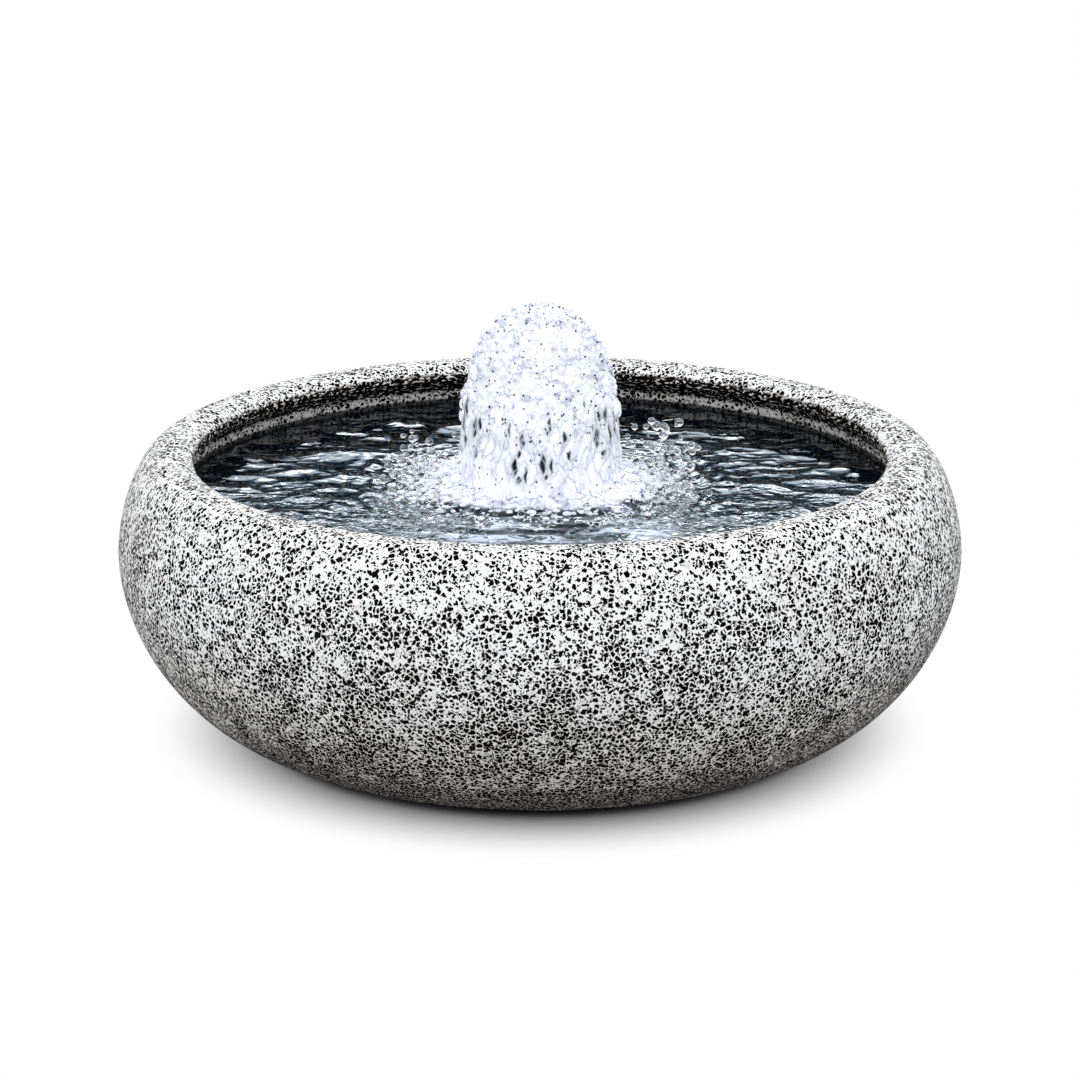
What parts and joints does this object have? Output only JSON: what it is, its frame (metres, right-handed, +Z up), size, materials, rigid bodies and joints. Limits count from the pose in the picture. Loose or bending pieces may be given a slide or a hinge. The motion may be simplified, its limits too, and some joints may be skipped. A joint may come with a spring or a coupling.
{
  "type": "garden fountain",
  "caption": "Round stone bowl fountain with an incurved rim, pump, flow valve, ball-jointed foam nozzle, drain, rippled water and a foaming central jet.",
  "frame": {"origin": "centre of the bowl's footprint, on the surface that its rubber pads stand on", "axes": "+Z up along the jet, +Y to the back where the cable channel leaves the foot, +X to the right"},
  "size_m": [0.6999, 0.7, 0.356],
  "materials": {
    "granite": "matte",
    "black_rubber": "matte",
    "brass": "satin",
    "red_fibre": "matte",
    "dark_plastic": "satin",
    "white_plastic": "satin",
    "red_plastic": "gloss",
    "plate_steel": "satin",
    "copper_winding": "gloss",
    "stainless_steel": "satin",
    "shaft_ceramic": "polished",
    "ferrite": "matte",
    "still_water": "gloss",
    "foam_water": "gloss"
  },
  "bodies": {
    "basin": {"bowl": "granite", "rubber_pads": "black_rubber", "drain_body": "brass", "drain_seal": "black_rubber", "drain_washer": "red_fibre", "drain_nut": "brass", "cable_bung": "black_rubber", "pump_housing": "dark_plastic", "motor_cap": "dark_plastic", "stator_core": "plate_steel", "stator_winding": "copper_winding", "housing_screws": "stainless_steel", "suction_feet": "black_rubber", "pump_casing": "dark_plastic", "intake_cover": "dark_plastic", "cover_oring": "black_rubber", "rotor_shaft": "shaft_ceramic", "front_bush": "black_rubber", "rear_bush": "black_rubber", "riser_tube": "dark_plastic", "valve_body": "dark_plastic", "valve_gland": "dark_plastic", "ball_seal": "black_rubber", "union_nut": "dark_plastic", "water_pool": "still_water", "splash_ring": "foam_water"},
    "rotor": {"impeller": "white_plastic", "rotor_magnet": "ferrite"},
    "cage": {"strainer": "dark_plastic"},
    "valve": {"valve_plug": "white_plastic", "valve_lever": "red_plastic"},
    "swivel": {"swivel_ring": "white_plastic"},
    "nozzle": {"nozzle_ball": "brass", "nozzle_head": "brass", "jet_plate": "stainless_steel", "air_sleeve": "brass", "water_jet": "foam_water"},
    "stopper": {"drain_plug": "stainless_steel", "plug_oring": "black_rubber"}
  },
  "joints": [
    {"name": "impeller_spin", "type": "hinge", "parent": "basin", "child": "rotor", "pos_m": [0, 0.02, 0.082], "axis": [0, 1, 0], "continuous": true},
    {"name": "strainer_pull", "type": "slide", "parent": "basin", "child": "cage", "axis": [0, -1, 0], "range_m": [0, 0.06]},
    {"name": "flow_valve_turn", "type": "hinge", "parent": "basin", "child": "valve", "pos_m": [0.014, 0, 0.148], "axis": [1, 0, 0], "range_deg": [0, 90], "deforming": ["water_jet", "splash_ring"]},
    {"name": "nozzle_swivel", "type": "hinge", "parent": "basin", "child": "swivel", "pos_m": [0, 0, 0.172], "axis": [0, 0, 1], "continuous": true},
    {"name": "nozzle_tilt", "type": "hinge", "parent": "swivel", "child": "nozzle", "pos_m": [0, 0, 0.172], "axis": [1, 0, 0], "range_deg": [-8, 8]},
    {"name": "drain_plug_lift", "type": "slide", "parent": "basin", "child": "stopper", "axis": [0, 0, 1], "range_m": [0, 0.05], "deforming": ["water_pool"]}
  ]
}
